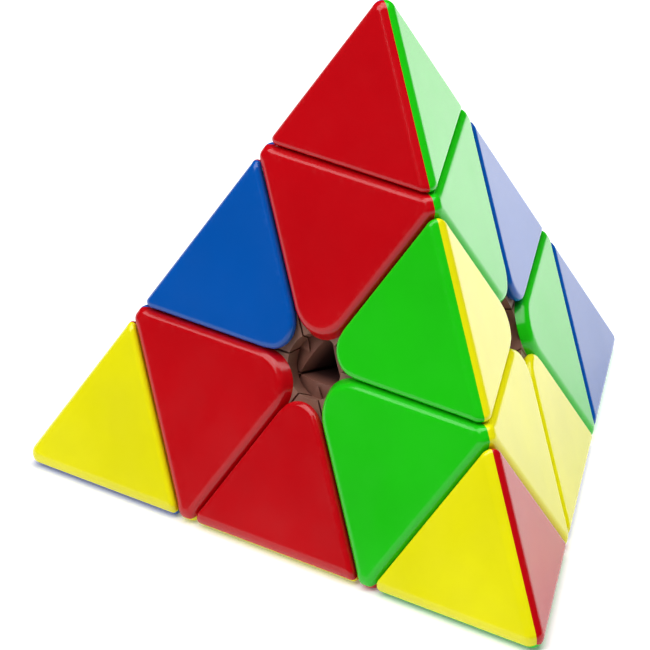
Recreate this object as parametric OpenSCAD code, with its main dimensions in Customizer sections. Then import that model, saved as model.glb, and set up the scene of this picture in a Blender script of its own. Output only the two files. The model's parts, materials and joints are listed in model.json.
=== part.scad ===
/* [Pyramid] */
// Length of an edge of the pyramid before its ridges and corners are rounded
edge_length = 103.6; // [100:0.2:108]
// Radius that rounds the ridges and the four corners
ridge_radius = 1.9; // [1.2:0.1:2.4]

/* [Cuts] */
// Distance from the centre of the pyramid to each layer cut
layer_cut = 7.1; // [7:0.05:7.6]
// Distance from the centre of the pyramid to each tip cut
tip_cut = 35.5; // [35:0.1:37]
// Play between two pieces that move past each other
play = 0.3; // [0.2:0.05:0.4]

/* [Caps] */
// Thickness of the coloured caps
cap_thickness = 1.8; // [1.4:0.1:2.2]
// Radius of an axial cap's corner beside the face's centre
axial_corner_radius = 4.6; // [4:0.1:5.2]
// Radius of an edge cap's corner beside the face's centre
edge_corner_radius = 4.6; // [4:0.1:5.2]
// Radius of the peg under each cap
peg_radius = 1.4; // [1.1:0.1:1.6]
// Length of the peg under each cap
peg_length = 3.5; // [2.5:0.5:4.5]

/* [Mechanism] */
// Radius of the ball at the heart of the core
core_radius = 7.4; // [7:0.1:7.8]
// Radius of the core's four arms
arm_radius = 3; // [2.8:0.1:3.1]
// Radius of the ball that the inner feet turn inside
inner_radius = 17.5; // [17:0.1:18]
// Distance from the centre to each cut between the inner feet
inner_cut = 3.4; // [3.3:0.1:3.8]
// Mean radius of a tension spring's coil
spring_radius = 2.6; // [2.4:0.1:2.8]
// Radius of a tension spring's wire
wire_radius = 0.35; // [0.25:0.05:0.4]
// Radius of the snap stem under each tip
stem_radius = 3; // [2.8:0.1:3.1]

/* [Hidden] */
TOP = 0;
LEFT = 1;
RIGHT = 2;
BACK = 3;
CORNERS = ["top", "left", "right", "back"];

// Directions from the centre to the four corners
ACROSS = sqrt(2 / 3);
TOWARDS = [
    [0, 0, 1],
    [-ACROSS, -sqrt(2) / 3, -1 / 3],
    [ACROSS, -sqrt(2) / 3, -1 / 3],
    [0, 2 * sqrt(2) / 3, -1 / 3]
];

// Faces of each corner, in order round its axis, and where a half turn brings the top corner
CORNER_FACES = [
    ["front", "right", "left"],
    ["left", "bottom", "front"],
    ["right", "front", "bottom"],
    ["bottom", "left", "right"]
];

// Each edge: name, the turn and axis that bring the top left edge to it, and its two faces
EDGES = [
    ["top_left_edge", 0, TOWARDS[TOP], ["front", "left"]],
    ["top_right_edge", 120, TOWARDS[TOP], ["right", "front"]],
    ["top_back_edge", 240, TOWARDS[TOP], ["left", "right"]],
    ["left_right_edge", -120, TOWARDS[BACK], ["front", "bottom"]],
    ["right_back_edge", 180, TOWARDS[TOP] + TOWARDS[RIGHT], ["right", "bottom"]],
    ["left_back_edge", 120, TOWARDS[RIGHT], ["bottom", "left"]]
];

red = "#c4101a";
green = "#2fb811";
blue = "#0a56ad";
yellow = "#ece400";
white = "#efece4";
steel = "#b9bcc0";

// Colours of the caps, in the order of each piece's faces: a scrambled puzzle
TIP_COLOURS = [[red, green, blue], [red, blue, yellow], [red, yellow, green], [green, yellow, blue]];
AXIAL_COLOURS = [[red, green, blue], [blue, yellow, red], [yellow, green, red], [yellow, blue, green]];
EDGE_COLOURS = [
    [blue, red], [yellow, green], [green, blue], [red, yellow], [yellow, blue], [red, green]
];

inradius = edge_length / (2 * sqrt(6));
circumradius = 3 * inradius;
face_tilt = acos(1 / 3);
half_play = play / 2;
reach = 1.5 * edge_length;
round_fn = 64;

// Angle at which the rounds meet the faces and one another, and their depth below the faces
round_meeting = 7;
round_depth = ridge_radius * cos(round_meeting);

// Heights along a corner's axis, from the centre outwards
arm_top = 10.5;
ledge_bottom = arm_top + half_play;
ledge_top = ledge_bottom + 1.4;
spring_top = 19.5;
washer_thickness = 0.6;
head_bottom = spring_top + washer_thickness;
head_height = 2;
stem_bottom = 27.5;
lip_bottom = 30.9;

running = 0.08;
shank_radius = 1.45;
shank_bottom = 4;
head_radius = 3;
washer_radius = 3.6;
bore_radius = 3.9;
barb_radius = 3.6;
spring_turns = 5;
spring_sides = 6;
rings_per_turn = 10;
round_spread = 50;
window_radius = 5;
sight_slot = [1.3, 5, 2.4];
sight_slot_angle = 46;

// Where a cap's middle lies on its face, measured from the face's centre towards its piece
axial_middle = 19.5;
edge_middle = 19;

// Half of space that lies more than h from the centre in a direction
module beyond(towards, h) {
    rotate([0, acos(towards.z), atan2(towards.y, towards.x)])
        translate([-reach, -reach, h]) cube(2 * reach);
}

// Half of space that lies less than h from the centre in a direction
module short_of(towards, h) {
    rotate([0, acos(towards.z), atan2(towards.y, towards.x)])
        translate([-reach, -reach, h - 2 * reach]) cube(2 * reach);
}

// Space that turns with every corner in ins and stays still with every corner in outs
module cell(ins, outs, cut) {
    intersection() {
        intersection_for (c = ins) beyond(TOWARDS[c], cut + half_play);
        intersection_for (c = outs) short_of(TOWARDS[c], cut - half_play);
    }
}

// The pyramid with its four faces moved inwards
module pyramid(inset) {
    intersection_for (c = [TOP:BACK]) beyond(TOWARDS[c], inset - inradius);
}

module ball(r) {
    sphere(r, $fn = round_fn);
}

module rod(r, bottom, top) {
    translate([0, 0, bottom]) cylinder(h = top - bottom, r = r, $fn = round_fn);
}

// From the front face's own plane, with Y towards the top corner and Z outwards
module on_front_face() {
    rotate([face_tilt, 0, 0]) translate([0, 0, inradius]) children();
}

module place_corner(c) {
    rotate(c == TOP ? 0 : 180, TOWARDS[TOP] + TOWARDS[c]) children();
}

module place_edge(e) {
    rotate(EDGES[e][1], EDGES[e][2]) children();
}

// What rounding a ridge takes away: all beyond the round, outside its cylinder
module ridge_waste(a, b) {
    middle = (TOWARDS[a] + TOWARDS[b]) / norm(TOWARDS[a] + TOWARDS[b]);
    along = (TOWARDS[b] - TOWARDS[a]) / norm(TOWARDS[b] - TOWARDS[a]);
    round_centre = (inradius - round_depth) * sqrt(3);
    difference() {
        beyond(middle, round_centre + round_depth / sqrt(3));
        translate(middle * round_centre)
            rotate([0, acos(along.z), atan2(along.y, along.x)])
                rod(ridge_radius, -reach, reach);
    }
}

// What rounding the top corner takes away
module corner_waste() {
    round_centre = circumradius - 3 * round_depth;
    difference() {
        translate([0, 0, round_centre])
            intersection_for (c = [LEFT, RIGHT, BACK])
                beyond((TOWARDS[TOP] - TOWARDS[c]) / norm(TOWARDS[TOP] - TOWARDS[c]), 0);
        translate([0, 0, round_centre]) ball(ridge_radius / cos(round_meeting));
    }
}

// What a cap keeps when its corner beside the front face's centre is rounded
module centre_corner_round(sharp_corner, radius) {
    steps = [-round_spread:10:round_spread];
    far = [cos(round_spread), sin(round_spread)] * reach / 2;
    low = sharp_corner + 2 * radius;
    on_front_face() translate([0, 0, -reach / 2]) linear_extrude(reach) polygon(concat(
        [for (turn = steps) [radius * sin(turn), low - radius * cos(turn)]],
        [[far.x, low + far.y], [-far.x, low + far.y]]
    ));
}

// The skin of the front face, mitred where it meets the other faces' skins
module front_skin() {
    intersection() {
        pyramid(0);
        short_of(TOWARDS[BACK], cap_thickness - inradius);
        intersection_for (c = [TOP, LEFT, RIGHT])
            short_of((TOWARDS[BACK] - TOWARDS[c]) / norm(TOWARDS[BACK] - TOWARDS[c]), 0);
    }
}

// A peg under a cap, a given way up the front face, or the blind hole for it
module peg(middle, clearance) {
    on_front_face() translate([0, middle, 0])
        rod(peg_radius + clearance, -cap_thickness - peg_length - clearance, -cap_thickness / 2);
}

// The opening at the front face's centre, down to the ball of the inner feet
module face_window() {
    on_front_face() rod(window_radius, -inradius / 2, reach / 4);
}

module tip_cap() {
    difference() {
        intersection() {
            front_skin();
            beyond(TOWARDS[TOP], tip_cut + half_play);
        }
        ridge_waste(TOP, LEFT);
        ridge_waste(TOP, RIGHT);
        corner_waste();
    }
}

module axial_cap() {
    sharp_corner = -2 * (layer_cut - half_play - inradius / 3) / (2 * sqrt(2) / 3);
    difference() {
        intersection() {
            front_skin();
            cell([TOP], [LEFT, RIGHT], layer_cut);
            short_of(TOWARDS[TOP], tip_cut - half_play);
            centre_corner_round(sharp_corner, axial_corner_radius);
        }
        ridge_waste(TOP, LEFT);
        ridge_waste(TOP, RIGHT);
    }
    peg(axial_middle, 0);
}

// The cap of the top left edge on the front face
module edge_cap() {
    sharp_corner = 2 * (layer_cut + half_play - inradius / 3) / (2 * sqrt(2) / 3);
    difference() {
        intersection() {
            front_skin();
            cell([TOP, LEFT], [RIGHT], layer_cut);
            rotate(-60, TOWARDS[BACK]) centre_corner_round(sharp_corner, edge_corner_radius);
        }
        ridge_waste(TOP, LEFT);
    }
    rotate(-60, TOWARDS[BACK]) peg(edge_middle, 0);
}

module axial_base() {
    difference() {
        union() {
            difference() {
                intersection() {
                    cell([TOP], [LEFT, RIGHT, BACK], layer_cut);
                    short_of(TOWARDS[TOP], tip_cut - half_play);
                    pyramid(cap_thickness);
                }
                ball(inner_radius + half_play);
                for (turn = [0, 120, 240]) rotate([0, 0, turn]) face_window();
            }
            intersection() {
                cell([TOP], [LEFT, RIGHT, BACK], inner_cut);
                union() {
                    ball(inner_radius - half_play);
                    intersection() {
                        ball(inner_radius + play);
                        beyond(TOWARDS[TOP], layer_cut + half_play);
                    }
                }
            }
        }
        ball(core_radius + half_play);
        rod(arm_radius + running, 0, ledge_bottom);
        rod(shank_radius + play, 0, ledge_top + play);
        rod(bore_radius, ledge_top, lip_bottom);
        rod(stem_radius + running, lip_bottom - play, tip_cut);
        for (turn = [0, 120, 240]) rotate([0, 0, turn]) {
            peg(axial_middle, running);
            rotate([sight_slot_angle, 0, 0]) translate([0, 0, inner_radius])
                cube([sight_slot.y, sight_slot.x, sight_slot.z], center = true);
        }
    }
}

module tip_hub() {
    intersection() {
        beyond(TOWARDS[TOP], tip_cut + half_play);
        pyramid(cap_thickness);
    }
    difference() {
        union() {
            rod(stem_radius, stem_bottom, tip_cut + 1);
            rod(barb_radius, stem_bottom, lip_bottom - play);
        }
        translate([-reach, -play, stem_bottom - 1]) cube([2 * reach, 2 * play, 7]);
    }
}

// The inner body of the top left edge
module edge_foot() {
    difference() {
        union() {
            difference() {
                intersection() {
                    cell([TOP, LEFT], [RIGHT, BACK], layer_cut);
                    pyramid(cap_thickness);
                }
                ball(inner_radius + half_play);
                face_window();
                rotate(180, TOWARDS[TOP] + TOWARDS[LEFT]) face_window();
            }
            intersection() {
                cell([TOP, LEFT], [RIGHT, BACK], inner_cut);
                union() {
                    ball(inner_radius - half_play);
                    intersection() {
                        ball(inner_radius + play);
                        cell([TOP, LEFT], [], layer_cut);
                    }
                }
            }
        }
        ball(core_radius + half_play);
        rotate(-60, TOWARDS[BACK]) peg(edge_middle, running);
        rotate(180, TOWARDS[TOP] + TOWARDS[LEFT]) rotate(-60, TOWARDS[BACK]) peg(edge_middle, running);
    }
}

module core() {
    color(white) difference() {
        union() {
            ball(core_radius - half_play);
            for (c = [TOP:BACK]) place_corner(c) rod(arm_radius, 0, arm_top);
        }
        for (c = [TOP:BACK]) place_corner(c) rod(shank_radius, shank_bottom, arm_top + 1);
    }
}

module tension_screw() {
    difference() {
        union() {
            rod(shank_radius, shank_bottom, head_bottom + 1);
            rod(head_radius, head_bottom, head_bottom + head_height);
        }
        for (turn = [0, 90]) rotate([0, 0, turn])
            translate([-head_radius * 0.7, -0.4, head_bottom + head_height - 1.2])
                cube([head_radius * 1.4, 0.8, 2]);
    }
}

module tension_screws() {
    color(steel) for (c = [TOP:BACK]) place_corner(c) tension_screw();
}

// A ring of the spring's wire, at a share of the way along the coil
function wire_ring(share) =
    let (turn = 360 * spring_turns * share)
    let (low = ledge_top + half_play / 2 + wire_radius)
    let (height = low + share * (spring_top - wire_radius - low))
    [for (s = [0:spring_sides - 1])
        let (out = spring_radius + wire_radius * cos(360 * s / spring_sides))
        [out * cos(turn), out * sin(turn), height + wire_radius * sin(360 * s / spring_sides)]];

module tension_spring() {
    last = spring_turns * rings_per_turn;
    n = spring_sides;
    polyhedron(
        points = [for (ring = [0:last]) each wire_ring(ring / last)],
        faces = concat(
            [[for (s = [0:n - 1]) s]],
            [for (ring = [0:last - 1]) for (s = [0:n - 1])
                [ring * n + s, ring * n + n + s, ring * n + n + (s + 1) % n, ring * n + (s + 1) % n]],
            [[for (s = [n - 1:-1:0]) last * n + s]]
        )
    );
}

module tension_springs() {
    color(steel) for (c = [TOP:BACK]) place_corner(c) tension_spring();
}

module spring_washers() {
    color(steel) for (c = [TOP:BACK]) place_corner(c) difference() {
        rod(washer_radius, spring_top, head_bottom);
        rod(shank_radius + running, spring_top - 1, head_bottom + 1);
    }
}

core();
tension_screws();
tension_springs();
spring_washers();
for (c = [TOP:BACK]) {
    base = str(CORNERS[c], "_axial_base");
    color(white) place_corner(c) axial_base();
    hub = str(CORNERS[c], "_tip_hub");
    color(white) place_corner(c) tip_hub();
    for (k = [0:2]) {
        axial = str(CORNERS[c], "_axial_", CORNER_FACES[c][k], "_cap");
        color(AXIAL_COLOURS[c][k]) place_corner(c) rotate([0, 0, 120 * k]) axial_cap();
        tip = str(CORNERS[c], "_tip_", CORNER_FACES[c][k], "_cap");
        color(TIP_COLOURS[c][k]) place_corner(c) rotate([0, 0, 120 * k]) tip_cap();
    }
}
for (e = [0:5]) {
    foot = str(EDGES[e][0], "_foot");
    color(white) place_edge(e) edge_foot();
    for (k = [0:1]) {
        cap = str(EDGES[e][0], "_", EDGES[e][3][k], "_cap");
        color(EDGE_COLOURS[e][k]) place_edge(e)
                rotate(180 * k, TOWARDS[TOP] + TOWARDS[LEFT]) edge_cap();
    }
}
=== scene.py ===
"""The pyramid twisty puzzle: finished coloured caps with rounded rims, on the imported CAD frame.

A cap's shape is a distance: the rounded pyramid, met by the cap's own walls, with the edge between
them rounded. Rays from a line inside the cap find that shape, and give a mesh that follows its
rounds. Three shapes of cap are made so, and turned to their 36 places."""

import json
import math

import bmesh
import bpy
import numpy as np
from mathutils import Matrix, Vector

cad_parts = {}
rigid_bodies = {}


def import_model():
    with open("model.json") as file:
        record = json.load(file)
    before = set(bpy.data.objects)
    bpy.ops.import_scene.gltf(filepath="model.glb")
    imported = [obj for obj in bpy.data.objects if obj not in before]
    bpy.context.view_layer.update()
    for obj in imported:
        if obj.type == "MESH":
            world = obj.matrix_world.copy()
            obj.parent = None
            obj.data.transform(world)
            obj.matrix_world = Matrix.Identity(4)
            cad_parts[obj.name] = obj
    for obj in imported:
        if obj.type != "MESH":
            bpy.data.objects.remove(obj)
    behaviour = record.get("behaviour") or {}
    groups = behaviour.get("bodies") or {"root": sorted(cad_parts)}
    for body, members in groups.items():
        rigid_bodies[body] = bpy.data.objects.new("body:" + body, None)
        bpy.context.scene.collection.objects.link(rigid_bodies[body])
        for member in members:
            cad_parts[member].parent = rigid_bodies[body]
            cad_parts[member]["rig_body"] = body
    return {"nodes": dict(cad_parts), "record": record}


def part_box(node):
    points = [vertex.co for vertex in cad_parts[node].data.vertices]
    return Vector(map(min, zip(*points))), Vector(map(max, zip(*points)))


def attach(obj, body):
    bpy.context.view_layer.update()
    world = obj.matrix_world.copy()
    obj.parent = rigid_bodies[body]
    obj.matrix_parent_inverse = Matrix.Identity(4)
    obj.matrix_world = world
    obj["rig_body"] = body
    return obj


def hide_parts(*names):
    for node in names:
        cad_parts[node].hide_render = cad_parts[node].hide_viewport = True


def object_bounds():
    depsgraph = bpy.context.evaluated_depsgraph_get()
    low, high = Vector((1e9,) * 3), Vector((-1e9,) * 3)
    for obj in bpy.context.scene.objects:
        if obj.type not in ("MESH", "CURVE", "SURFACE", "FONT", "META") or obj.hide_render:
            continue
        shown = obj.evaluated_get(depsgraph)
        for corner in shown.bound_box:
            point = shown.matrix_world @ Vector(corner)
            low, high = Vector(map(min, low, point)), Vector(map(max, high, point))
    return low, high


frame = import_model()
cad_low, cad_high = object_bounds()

MM = 0.001

# Rounds of the caps
RIDGE_RADIUS = 1.9 * MM
TIP_RIM, TIP_NOSE = 0.8 * MM, 0.7 * MM
AXIAL_RIM, AXIAL_NOSE = 1.5 * MM, 1.0 * MM
EDGE_RIM, EDGE_NOSE = 0.85 * MM, 0.7 * MM
NOSE_LENGTH = 3.5 * MM
AXIAL_CORNER_RADIUS = 6.0 * MM
EDGE_CORNER_RADIUS = 4.7 * MM
SIDE_CORNER_RADIUS = 0.8 * MM
THICKNESS = 1.8 * MM
STEEPEST_COSINE = 0.85

# The line inside a cap from which its rims are found, and how finely the cap is meshed
WALL_INSET = 1.9 * MM
CORNER_INSET = WALL_INSET + 0.8 * MM
SMALL_CORNER = 0.3 * MM
ARC_STEPS = 20
SIDE_STEPS = 14
FILLET_RINGS = 18
FLAT_RINGS = (0.2, 0.4, 0.6, 0.75, 0.84, 0.9, 0.94, 0.97)
SEARCH_STEPS = 26
LONGEST_RAY = 12 * MM
LOWEST_TURN = -1.3
SLOPE_STEP = 0.01 * MM
SHARP_ANGLE = math.radians(38)

# Share of the rim, from the face outwards, that wear has rubbed
WORN_SHARE = 1 / 1.4

# Camera, in degrees and in lengths of the pyramid's edge
VIEW_AZIMUTH = 39.474
VIEW_ELEVATION = 27.064
VIEW_ROLL = -1.457
VIEW_DISTANCE = 8.36
VIEW_RIGHT = -0.0962
VIEW_UP = 0.051
LENS = 315.6
SENSOR = 36

# Surroundings, and the lights: towards, distance, size and power, in lengths of the pyramid's edge
WHITE = (1, 1, 1)
DARK_ROOM = (0.02, 0.02, 0.02)
FLOOR_COLOUR = (0.9, 0.9, 0.9)
# Painted light of the floor: how strongly it glows at its front and at its back
FLOOR_PAINTED_GLOW = (0.05, 1.2)
FLOOR_REACH = 30
FLOOR_GAP = 0.05 * MM
LIGHTS = {
    "overhead": ((0.1, 0.1, 1), 7, 7, 6),
    "key": ((-0.4, -0.8, 1.2), 8, 6, 4),
}

# The inner bodies are coloured by their distance from the puzzle's centre. The dark colours stand in
# for the deep shadow of the real hole, which looks deeper than the model's, and further out the bodies
# are ivory. Each row is a share of the way out, and the colour there.
HEART_RADIUS = 12 * MM
IVORY_RADIUS = 32 * MM
HEART_PAINTED_SHADE = (
    (0, (0.012, 0.006, 0.006)),
    (0.15, (0.05, 0.02, 0.018)),
    (0.27, (0.26, 0.11, 0.08)),
    (0.45, (0.26, 0.14, 0.1)),
    (0.6, (0.4, 0.31, 0.25)),
)

# The four corners, and the corner that each face lies opposite
ACROSS = math.sqrt(2 / 3)
TOWARDS = {
    "top": np.array([0, 0, 1]),
    "left": np.array([-ACROSS, -math.sqrt(2) / 3, -1 / 3]),
    "right": np.array([ACROSS, -math.sqrt(2) / 3, -1 / 3]),
    "back": np.array([0, 2 * math.sqrt(2) / 3, -1 / 3]),
}
OPPOSITE = {"front": "back", "right": "left", "left": "right", "bottom": "top"}
FRONT = -TOWARDS["back"]
MITRES = np.array([TOWARDS["back"] - TOWARDS[corner] for corner in ("top", "left", "right")])
MITRES /= np.linalg.norm(MITRES, axis=1, keepdims=True)

# Sizes that come from the frame
INRADIUS = -cad_low.z
EDGE_LENGTH = INRADIUS * 2 * math.sqrt(6)
TIP_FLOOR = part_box("top_tip_front_cap")[0].z
AXIAL_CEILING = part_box("top_axial_front_cap")[1].z
EDGE_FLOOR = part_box("top_left_edge_front_cap")[0].z
PLAY = TIP_FLOOR - AXIAL_CEILING
AXIAL_WALL = EDGE_FLOOR - PLAY


# ---------------------------------------------------------------- rounded solids as distances


def along(points, direction):
    """How far each point lies in a direction."""
    return points @ np.asarray(direction, float)


def rounded(first, second, cosine, radius):
    """Distance from the meeting of two solids, with their edge rounded by a rolling ball.
    cosine is that of the angle between the solids' outward normals."""
    a, b = first + radius, second + radius
    on_edge = (a > cosine * b) & (b > cosine * a)
    squared = (a * a + b * b - 2 * cosine * a * b) / (1 - cosine * cosine)
    return np.where(on_edge, np.sqrt(np.maximum(squared, 0)), np.maximum(a, b)) - radius


def pyramid(points):
    """Distance from the pyramid with its ridges and its corners rounded."""
    depths = {c: -along(points, t) - INRADIUS for c, t in TOWARDS.items()}
    names = list(depths)
    pairs = [(a, b) for a in names for b in names if a < b]
    found = np.max([rounded(depths[a], depths[b], -1 / 3, RIDGE_RADIUS) for a, b in pairs], axis=0)
    for corner in names:
        inside = np.array([depths[c] + RIDGE_RADIUS for c in names if c != corner])
        share = 0.75 * (inside + inside.sum(axis=0))
        reach = np.sqrt(np.maximum((share * inside).sum(axis=0), 0)) - RIDGE_RADIUS
        found = np.where((share > 0).all(axis=0), reach, found)
    return found


def slope(solid, points):
    """Unit outward normals of a solid's distance at the points."""
    moves = np.eye(3) * SLOPE_STEP
    found = np.stack([solid(points + m) - solid(points - m) for m in moves], axis=1)
    return found / np.maximum(np.linalg.norm(found, axis=1, keepdims=True), 1e-12)


def tip_walls(points):
    return TIP_FLOOR - along(points, TOWARDS["top"])


def axial_walls(points):
    left = along(points, TOWARDS["left"]) - AXIAL_WALL
    right = along(points, TOWARDS["right"]) - AXIAL_WALL
    top = along(points, TOWARDS["top"]) - AXIAL_CEILING
    sides = rounded(left, right, -1 / 3, AXIAL_CORNER_RADIUS)
    return rounded(sides, top, -1 / 3, SIDE_CORNER_RADIUS)


def edge_walls(points):
    top = EDGE_FLOOR - along(points, TOWARDS["top"])
    left = EDGE_FLOOR - along(points, TOWARDS["left"])
    return rounded(top, left, -1 / 3, EDGE_CORNER_RADIUS)


def rim_radius(points, rim, nose):
    """The rim's round, which changes to the nose's round towards the ridges."""
    depths = np.sort([-along(points, t) for t in TOWARDS.values()], axis=0)
    nearness = np.clip(1 - (depths[-1] - depths[-2]) / NOSE_LENGTH, 0, 1)
    return rim + (nose - rim) * nearness * nearness * (3 - 2 * nearness)


def piece(walls, rim, nose):
    """A piece's distance: the pyramid inside its walls, with rounded rims."""

    def distance(points):
        cosine = (slope(pyramid, points) * slope(walls, points)).sum(axis=1)
        cosine = np.clip(cosine, -STEEPEST_COSINE, STEEPEST_COSINE)
        return rounded(pyramid(points), walls(points), cosine, rim_radius(points, rim, nose))

    return distance


def past_mitres(points):
    """How far points lie past each of the three planes where the front face's caps are mitred."""
    return np.stack([along(points, mitre) for mitre in MITRES])


def past_cap(points):
    """How far points lie below the cap's underside or past its mitres."""
    return np.maximum(INRADIUS - THICKNESS - along(points, FRONT), past_mitres(points).max(axis=0))


def settled(points, walls):
    """Points of the underside, slid along their mitres until they lie inside the walls."""
    ways = np.cross(FRONT, MITRES[past_mitres(points).argmax(axis=0)])
    ways /= np.linalg.norm(ways, axis=1, keepdims=True)
    rise = (slope(walls, points) * ways).sum(axis=1)
    steep = np.abs(rise) > 0.1
    moves = np.where(steep, np.maximum(walls(points), 0) / np.where(steep, rise, 1), 0)
    return points - ways * moves[:, None]


# ---------------------------------------------------------------- meshes of the caps

FACE_X = np.array([1.0, 0, 0])
FACE_Y = np.cross(FRONT, FACE_X)


def side_line(normal, height):
    """The angle and the distance, in the front face's plane, of the line where a plane cuts it."""
    flat = np.array([along(normal, FACE_X), along(normal, FACE_Y)])
    size = np.linalg.norm(flat)
    return math.atan2(flat[1], flat[0]), (height - INRADIUS * along(normal, FRONT)) / size


def crossing(first, second, inset_first, inset_second):
    """Where two side lines cross once each is moved inwards."""
    rows = [[math.cos(turn), math.sin(turn)] for turn, _ in (first, second)]
    return np.linalg.solve(rows, [first[1] - inset_first, second[1] - inset_second])


def spine(sides, insets, corner_radii):
    """Points along a rounded triangle inside the cap, and the outward direction at each."""
    order = sorted(range(3), key=lambda k: sides[k][0])
    places, outwards = [], []
    for k, here in enumerate(order):
        after = order[(k + 1) % 3]
        radius = corner_radii[frozenset((here, after))]
        centre = crossing(sides[here], sides[after], insets[here] + radius, insets[after] + radius)
        start = sides[here][0]
        sweep = (sides[after][0] - start) % (2 * math.pi)
        for step in range(ARC_STEPS + 1):
            turn = start + sweep * step / ARC_STEPS
            outward = np.array([math.cos(turn), math.sin(turn)])
            places.append(centre + radius * outward)
            outwards.append(outward)
    per_corner = ARC_STEPS + 1
    line, ways = [], []
    for k in range(3):
        line += places[k * per_corner:(k + 1) * per_corner]
        ways += outwards[k * per_corner:(k + 1) * per_corner]
        last, first = places[(k + 1) * per_corner - 1], places[(k + 1) * per_corner % len(places)]
        for step in range(1, SIDE_STEPS):
            line.append(last + (first - last) * step / SIDE_STEPS)
            ways.append(outwards[(k + 1) * per_corner - 1])
    return np.array(line), np.array(ways)


def on_face(flat, depth):
    """Points in space from points in the front face's plane, at a depth below it."""
    return np.outer(flat[:, 0], FACE_X) + np.outer(flat[:, 1], FACE_Y) + FRONT * (INRADIUS - depth)


def cast(solid, starts, ways):
    """Where rays from inside a solid leave it."""
    near, far = np.zeros(len(starts)), np.full(len(starts), LONGEST_RAY)
    for _ in range(SEARCH_STEPS):
        middle = (near + far) / 2
        inside = solid(starts + ways * middle[:, None]) < 0
        near, far = np.where(inside, middle, near), np.where(inside, far, middle)
    return starts + ways * near[:, None]


def lowered(outwards, turns):
    """Directions that lie at angles above the face's plane."""
    return outwards * np.cos(turns)[:, None] + FRONT * np.sin(turns)[:, None]


def cap_rings(solid, walls, line, ways):
    """Loops of points over the cap, from the middle of its face out to its lower rim."""
    starts = on_face(line, RIDGE_RADIUS)
    outwards = np.outer(ways[:, 0], FACE_X) + np.outer(ways[:, 1], FACE_Y)
    upright = np.full(len(line), math.pi / 2)
    low, high = np.full(len(line), LOWEST_TURN), upright.copy()
    for _ in range(SEARCH_STEPS):
        middle = (low + high) / 2
        past = past_cap(cast(solid, starts, lowered(outwards, middle))) > 0
        low, high = np.where(past, middle, low), np.where(past, high, middle)
    centre = line.mean(axis=0)
    rings = []
    for scale in FLAT_RINGS:
        ring = on_face(centre + (line - centre) * scale, RIDGE_RADIUS)
        rings.append(cast(solid, ring, lowered(outwards * 0, upright)))
    for step in range(FILLET_RINGS + 1):
        turns = upright + (high - upright) * step / FILLET_RINGS
        rings.append(cast(solid, starts, lowered(outwards, turns)))
    last = rings[-1]
    shrink = (INRADIUS - THICKNESS) / along(last, FRONT)
    rings.append(settled(last * shrink[:, None], walls))
    middle = cast(solid, on_face(centre[None, :], RIDGE_RADIUS), FRONT[None, :])[0]
    return middle, rings


def cap_mesh(name, walls, rims, sides, insets, corner_radii):
    """The mesh of a cap of the top corner or the top left edge, on the front face."""
    middle, rings = cap_rings(piece(walls, *rims), walls, *spine(sides, insets, corner_radii))
    mesh = bmesh.new()
    rim = mesh.verts.layers.float.new("rim")
    centre = mesh.verts.new(middle)
    loops = [[mesh.verts.new(p) for p in ring] for ring in rings]
    first_fillet = len(FLAT_RINGS)
    for step in range(FILLET_RINGS + 1):
        share = step / FILLET_RINGS
        for vertex in loops[first_fillet + step]:
            vertex[rim] = math.sin(math.pi * share / WORN_SHARE) if share < WORN_SHARE else 0
    count = len(loops[0])
    for k in range(count):
        mesh.faces.new((centre, loops[0][k], loops[0][(k + 1) % count]))
        for inner, outer in zip(loops, loops[1:]):
            mesh.faces.new((inner[k], outer[k], outer[(k + 1) % count], inner[(k + 1) % count]))
    mesh.faces.new(reversed(loops[-1]))
    bmesh.ops.remove_doubles(mesh, verts=mesh.verts, dist=1e-6)
    bmesh.ops.dissolve_degenerate(mesh, edges=mesh.edges, dist=1e-7)
    bmesh.ops.recalc_face_normals(mesh, faces=mesh.faces)
    made = bpy.data.meshes.new(name)
    mesh.to_mesh(made)
    mesh.free()
    return made


def corners(first_second, first_third, second_third):
    """The inner line's corner radius between each two of a cap's three sides."""
    radii = (first_second, first_third, second_third)
    return {frozenset(pair): radius for pair, radius in zip(((0, 1), (0, 2), (1, 2)), radii)}


def cap_meshes():
    """The three shapes of cap."""
    top, left, right = TOWARDS["top"], TOWARDS["left"], TOWARDS["right"]
    ridge_inset = RIDGE_RADIUS * math.sqrt(2)
    left_ridge = side_line(-right, INRADIUS)
    right_ridge = side_line(-left, INRADIUS)
    tip = cap_mesh(
        "tip_cap",
        tip_walls,
        (TIP_RIM, TIP_NOSE),
        [side_line(-top, -TIP_FLOOR), left_ridge, right_ridge],
        [WALL_INSET, ridge_inset, ridge_inset],
        corners(SMALL_CORNER, SMALL_CORNER, SMALL_CORNER),
    )
    axial = cap_mesh(
        "axial_cap",
        axial_walls,
        (AXIAL_RIM, AXIAL_NOSE),
        [side_line(top, AXIAL_CEILING), side_line(left, AXIAL_WALL), side_line(right, AXIAL_WALL)],
        [WALL_INSET, WALL_INSET, WALL_INSET],
        corners(SMALL_CORNER, SMALL_CORNER, AXIAL_CORNER_RADIUS - CORNER_INSET),
    )
    edge = cap_mesh(
        "edge_cap",
        edge_walls,
        (EDGE_RIM, EDGE_NOSE),
        [side_line(-top, -EDGE_FLOOR), side_line(-left, -EDGE_FLOOR), left_ridge],
        [WALL_INSET, WALL_INSET, ridge_inset],
        corners(EDGE_CORNER_RADIUS - CORNER_INSET, SMALL_CORNER, SMALL_CORNER),
    )
    return {"tip": tip, "axial": axial, "edge": edge}


def turn_to(first, second, first_target, second_target):
    """The rotation that takes two corners to two others."""
    start = np.stack([first, second, np.cross(first, second)], axis=1)
    end = np.stack([first_target, second_target, np.cross(first_target, second_target)], axis=1)
    return Matrix((end @ np.linalg.inv(start)).tolist()).to_4x4()


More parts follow.
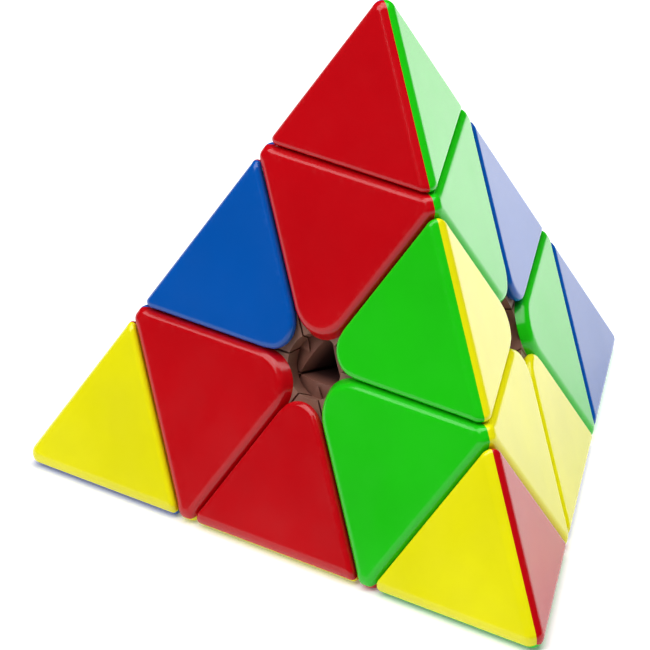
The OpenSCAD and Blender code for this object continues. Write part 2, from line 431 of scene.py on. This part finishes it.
def cap_turn(node):
    """The kind of a cap, and the rotation that brings its shape to its place."""
    words = node.split("_")
    faced = OPPOSITE[words[-2]]
    if "edge" in words:
        other = next(c for c in TOWARDS if c not in (words[0], words[1], faced))
        return "edge", turn_to(TOWARDS["back"], TOWARDS["right"], TOWARDS[faced], TOWARDS[other])
    return words[1], turn_to(TOWARDS["top"], TOWARDS["back"], TOWARDS[words[0]], TOWARDS[faced])


# ---------------------------------------------------------------- materials


def new_material(name):
    material = bpy.data.materials.new(name)
    material.use_nodes = True
    nodes = material.node_tree.nodes
    return material, nodes, material.node_tree.links, nodes["Principled BSDF"]


def noise(nodes, links, scale, detail=3.0, roughness=0.5):
    """Noise over the piece's own coordinates; scale is in features per metre."""
    place = nodes.new("ShaderNodeTexCoord")
    made = nodes.new("ShaderNodeTexNoise")
    made.inputs["Scale"].default_value = scale
    made.inputs["Detail"].default_value = detail
    made.inputs["Roughness"].default_value = roughness
    links.new(place.outputs["Object"], made.inputs["Vector"])
    return made.outputs["Fac"]


def spread(nodes, links, value, low, high, from_low=0.3, from_high=0.7):
    """A value between from_low and from_high, such as noise, spread between two numbers."""
    made = nodes.new("ShaderNodeMapRange")
    made.inputs["From Min"].default_value = from_low
    made.inputs["From Max"].default_value = from_high
    made.inputs["To Min"].default_value = low
    made.inputs["To Max"].default_value = high
    links.new(value, made.inputs["Value"])
    return made.outputs["Result"]


def mixed(nodes, links, share, first, second):
    """A colour between two colours; each is a colour or a socket."""
    made = nodes.new("ShaderNodeMix")
    made.data_type = "RGBA"
    links.new(share, made.inputs[0])
    for socket, colour in ((made.inputs[6], first), (made.inputs[7], second)):
        if isinstance(colour, bpy.types.NodeSocket):
            links.new(colour, socket)
        else:
            socket.default_value = (*colour, 1)
    return made.outputs[2]


def multiplied(nodes, links, first, second):
    made = nodes.new("ShaderNodeMath")
    made.operation = "MULTIPLY"
    links.new(first, made.inputs[0])
    links.new(second, made.inputs[1])
    return made.outputs[0]


def bumped(nodes, links, height, distance, strength, under=None):
    """A bump of a height in metres, over another bump if there is one."""
    made = nodes.new("ShaderNodeBump")
    made.inputs["Distance"].default_value = distance
    made.inputs["Strength"].default_value = strength
    links.new(height, made.inputs["Height"])
    if under is not None:
        links.new(under, made.inputs["Normal"])
    return made.outputs["Normal"]


def shade(colour, factor):
    return tuple(min(1, c * factor) for c in colour)


def gloss_plastic(name, colour):
    """Glossy moulded plastic: slight swirls in the colour, a wavy skin, fine grain and rubbed rims."""
    material, nodes, links, shader = new_material(name)
    swirls = spread(nodes, links, noise(nodes, links, 55, 4, 0.55), 0, 1)
    body = mixed(nodes, links, swirls, shade(colour, 0.94), shade(colour, 1.05))
    rim = nodes.new("ShaderNodeAttribute")
    rim.attribute_name = "rim"
    scuffs = spread(nodes, links, noise(nodes, links, 900, 5, 0.7), 0, 0.12, 0.5, 0.8)
    worn = multiplied(nodes, links, rim.outputs["Fac"], scuffs)
    pale = tuple(0.9 * c + 0.1 for c in colour)
    links.new(mixed(nodes, links, worn, body, pale), shader.inputs["Base Color"])
    smears = spread(nodes, links, noise(nodes, links, 130, 6, 0.6), 0.13, 0.22)
    added = nodes.new("ShaderNodeMath")
    added.operation = "MULTIPLY_ADD"
    links.new(worn, added.inputs[0])
    added.inputs[1].default_value = 0.3
    links.new(smears, added.inputs[2])
    links.new(added.outputs[0], shader.inputs["Roughness"])
    waves = bumped(nodes, links, noise(nodes, links, 70, 2, 0.4), 0.06 * MM, 0.5)
    grain = bumped(nodes, links, noise(nodes, links, 5200, 2, 0.5), 0.004 * MM, 0.35, waves)
    links.new(grain, shader.inputs["Normal"])
    shader.inputs["IOR"].default_value = 1.45
    return material


def matte_plastic(name, colour):
    """Ivory moulded plastic with a satin, slightly mottled skin, and painted shade that darkens it
    towards the heart.
    """
    material, nodes, links, shader = new_material(name)
    place = nodes.new("ShaderNodeTexCoord")
    depth = nodes.new("ShaderNodeVectorMath")
    depth.operation = "LENGTH"
    links.new(place.outputs["Object"], depth.inputs[0])
    outwards = spread(nodes, links, depth.outputs["Value"], 0, 1, HEART_RADIUS, IVORY_RADIUS)
    ramp = nodes.new("ShaderNodeValToRGB")
    links.new(outwards, ramp.inputs["Fac"])
    stops = ramp.color_ramp.elements
    # Painted shade: dark colours near the centre, then ivory further out
    for share, tint in HEART_PAINTED_SHADE:
        stops.new(share).color = (*tint, 1)
    stops[-1].color = (*colour, 1)
    mottle = spread(nodes, links, noise(nodes, links, 160, 5, 0.6), 0.9, 1.05)
    mottled = nodes.new("ShaderNodeVectorMath")
    mottled.operation = "SCALE"
    links.new(ramp.outputs["Color"], mottled.inputs[0])
    links.new(mottle, mottled.inputs["Scale"])
    links.new(mottled.outputs[0], shader.inputs["Base Color"])
    satin = spread(nodes, links, noise(nodes, links, 420, 5, 0.6), 0.34, 0.5)
    links.new(satin, shader.inputs["Roughness"])
    grain = bumped(nodes, links, noise(nodes, links, 3800, 3, 0.6), 0.012 * MM, 0.5)
    links.new(grain, shader.inputs["Normal"])
    shader.inputs["IOR"].default_value = 1.45
    return material


def brushed_steel(name, colour):
    """Zinc-plated steel with turning marks."""
    material, nodes, links, shader = new_material(name)
    tarnish = spread(nodes, links, noise(nodes, links, 600, 5, 0.6), 0, 1)
    metal = mixed(nodes, links, tarnish, shade(colour, 0.8), shade(colour, 1.1))
    links.new(metal, shader.inputs["Base Color"])
    polish = spread(nodes, links, noise(nodes, links, 2200, 4, 0.6), 0.22, 0.42)
    links.new(polish, shader.inputs["Roughness"])
    marks = bumped(nodes, links, noise(nodes, links, 6500, 2, 0.5), 0.006 * MM, 0.6)
    links.new(marks, shader.inputs["Normal"])
    shader.inputs["Metallic"].default_value = 1
    return material


MAKERS = {"gloss_plastic": gloss_plastic, "matte_plastic": matte_plastic, "brushed_steel": brushed_steel}


def make_materials():
    """A material for each slot of the record."""
    rows = frame["record"]["materials"]
    return {row["slot"]: MAKERS[row["class"]](row["slot"], row["base_color"]) for row in rows}


# ---------------------------------------------------------------- the scene around it


def make_floor():
    """A wide pale floor with painted light: it glows a little, and more towards the back."""
    size = FLOOR_REACH * EDGE_LENGTH
    mesh = bmesh.new()
    outline = [(-size, -size), (size, -size), (size, size), (-size, size)]
    mesh.faces.new([mesh.verts.new((x, y, -INRADIUS - FLOOR_GAP)) for x, y in outline])
    made = bpy.data.meshes.new("floor")
    mesh.to_mesh(made)
    mesh.free()
    floor = bpy.data.objects.new("floor", made)
    bpy.context.scene.collection.objects.link(floor)
    material, nodes, links, shader = new_material("pale_floor")
    shader.inputs["Base Color"].default_value = (*FLOOR_COLOUR, 1)
    shader.inputs["Roughness"].default_value = 0.9
    shader.inputs["Emission Color"].default_value = (*WHITE, 1)
    place = nodes.new("ShaderNodeTexCoord")
    parts = nodes.new("ShaderNodeSeparateXYZ")
    links.new(place.outputs["Object"], parts.inputs["Vector"])
    front, back = -0.5 * EDGE_LENGTH, 2 * EDGE_LENGTH
    # Painted light: the floor glows faintly at its front and brightly at its back
    painted_glow = spread(nodes, links, parts.outputs["Y"], *FLOOR_PAINTED_GLOW, front, back)
    links.new(painted_glow, shader.inputs["Emission Strength"])
    made.materials.append(material)


def softbox(name, towards, distance, size, power):
    """A square soft light that faces the object, with its place in edge lengths."""
    light = bpy.data.lights.new(name, "AREA")
    light.energy = power
    light.size = size * EDGE_LENGTH
    made = bpy.data.objects.new(name, light)
    way = Vector(towards).normalized()
    made.location = way * distance * EDGE_LENGTH
    made.rotation_euler = (-way).to_track_quat("-Z", "Y").to_euler()
    bpy.context.scene.collection.objects.link(made)


def make_lights():
    for name, places in LIGHTS.items():
        softbox(name, *places)
    world = bpy.data.worlds.new("studio")
    world.use_nodes = True
    nodes, links = world.node_tree.nodes, world.node_tree.links
    background = nodes["Background"]
    seen = nodes.new("ShaderNodeLightPath")
    around = mixed(nodes, links, seen.outputs["Is Camera Ray"], DARK_ROOM, WHITE)
    links.new(around, background.inputs["Color"])
    bpy.context.scene.world = world


def make_camera():
    camera = bpy.data.cameras.new("camera")
    camera.lens, camera.sensor_width = LENS, SENSOR
    made = bpy.data.objects.new("camera", camera)
    azimuth, elevation = math.radians(VIEW_AZIMUTH), math.radians(VIEW_ELEVATION)
    turn = (
        Matrix.Rotation(azimuth, 4, "Z")
        @ Matrix.Rotation(math.pi / 2 - elevation, 4, "X")
        @ Matrix.Rotation(math.radians(VIEW_ROLL), 4, "Z")
    )
    place = Vector((VIEW_RIGHT, VIEW_UP, VIEW_DISTANCE)) * EDGE_LENGTH
    made.matrix_world = turn @ Matrix.Translation(place)
    camera.clip_start, camera.clip_end = 0.01, 100
    bpy.context.scene.collection.objects.link(made)
    bpy.context.scene.camera = made
    bpy.context.scene.view_settings.view_transform = "Standard"


# ---------------------------------------------------------------- building it

SLOTS = {row["node"]: row["material_slot"] for row in frame["record"]["subparts"]}


def make_cap(node, shapes, materials):
    """The finished cap that stands for a CAD cap."""
    kind, turn = cap_turn(node)
    mesh = shapes[kind].copy()
    mesh.transform(turn)
    mesh.shade_smooth()
    mesh.set_sharp_from_angle(angle=SHARP_ANGLE)
    mesh.materials.append(materials[SLOTS[node]])
    made = bpy.data.objects.new(node + "_skin", mesh)
    bpy.context.scene.collection.objects.link(made)
    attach(made, frame["nodes"][node]["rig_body"])
    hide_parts(node)


def build():
    materials = make_materials()
    shapes = cap_meshes()
    for node, cad in frame["nodes"].items():
        if node.endswith("_cap"):
            make_cap(node, shapes, materials)
            continue
        for slot in cad.material_slots:
            slot.material = materials[SLOTS[node]]
    make_floor()
    make_lights()
    make_camera()


build()
